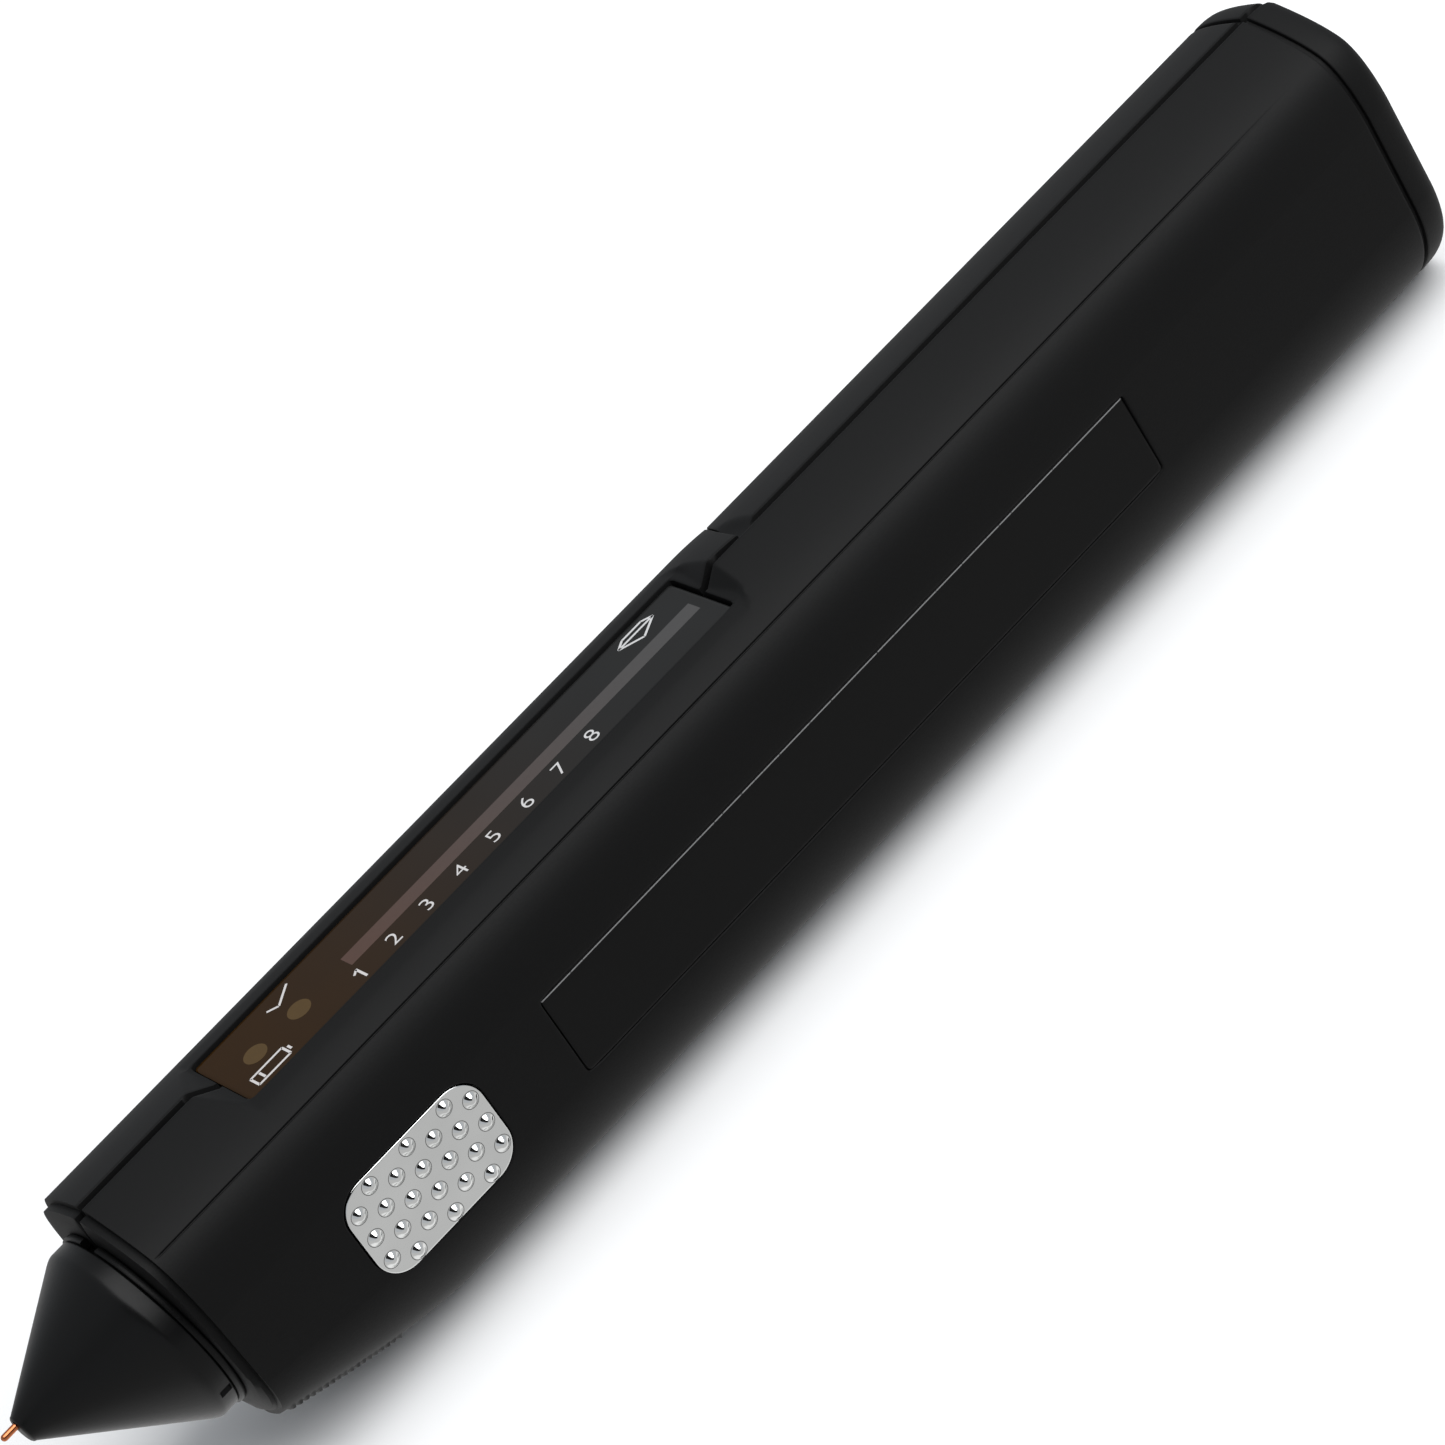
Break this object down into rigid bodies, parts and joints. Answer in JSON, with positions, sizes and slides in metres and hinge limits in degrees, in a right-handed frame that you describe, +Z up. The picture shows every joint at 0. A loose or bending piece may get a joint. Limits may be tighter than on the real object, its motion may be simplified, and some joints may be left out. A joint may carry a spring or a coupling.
{
  "type": "diamond tester",
  "caption": "Hand-held thermal tester for gemstones: slim two-part black housing with a cone nose, a spring-loaded metal tip, a lamp window and side contact pads.",
  "frame": {"origin": "middle of the overall box, on the surface that the belly rests on", "axes": "+X runs rearward from the probe tip, +Y to the right-hand side, +Z up to the display"},
  "size_m": [0.1544, 0.021, 0.0282],
  "materials": {
    "housing_black": "moulded black plastic with a fine grain and a soft sheen",
    "trim_black": "plain black moulding",
    "window_smoke": "polished smoke-tinted window with pale print under it",
    "lamp_pale": "frosted pale lamp plastic",
    "circuit_board": "green solder mask",
    "pad_silver": "satin silver plating with raised bumps",
    "spring_steel": "bright nickel-plated steel",
    "probe_brass": "turned brass",
    "probe_copper": "polished copper",
    "cell_jacket": "plain dark jacket on a metal can, left bare"
  },
  "bodies": {
    "casing": {"left_housing": "housing_black", "right_housing": "housing_black", "side_label_plate": "housing_black", "nose_cone": "housing_black", "nose_ring": "trim_black", "probe_guide": "probe_brass", "probe_spring": "spring_steel", "display_window": "window_smoke", "light_bar": "lamp_pale", "ready_lamp": "lamp_pale", "low_battery_lamp": "lamp_pale", "display_board": "circuit_board", "main_board": "circuit_board", "buzzer": "trim_black", "power_switch": "trim_black", "left_contact_pad": "pad_silver", "right_contact_pad": "pad_silver", "left_pad_finger": "spring_steel", "right_pad_finger": "spring_steel", "battery_cradle": "trim_black", "upper_battery": "cell_jacket", "lower_battery": "cell_jacket", "upper_battery_spring": "spring_steel", "lower_battery_spring": "spring_steel", "upper_front_contact": "spring_steel", "lower_front_contact": "spring_steel", "rear_contact_bridge": "spring_steel", "front_cradle_screw": "spring_steel", "rear_cradle_screw": "spring_steel"},
    "probe": {"probe_tip": "probe_copper", "probe_plunger": "probe_brass"},
    "power_button": {"power_button": "housing_black"},
    "battery_cover": {"battery_cover": "housing_black"}
  },
  "joints": [
    {"name": "probe_press", "type": "slide", "parent": "casing", "child": "probe", "axis": [1, 0, 0], "range_m": [0, 0.001], "stiffness_N_per_m": 400, "springref_m": -0.0015},
    {"name": "power_button_press", "type": "slide", "parent": "casing", "child": "power_button", "axis": [0, -1, 0], "range_m": [0, 0.0005], "stiffness_N_per_m": 2000, "springref_m": -0.0005},
    {"name": "battery_cover_slide", "type": "slide", "parent": "casing", "child": "battery_cover", "axis": [1, 0, 0], "range_m": [0, 0.012]}
  ]
}
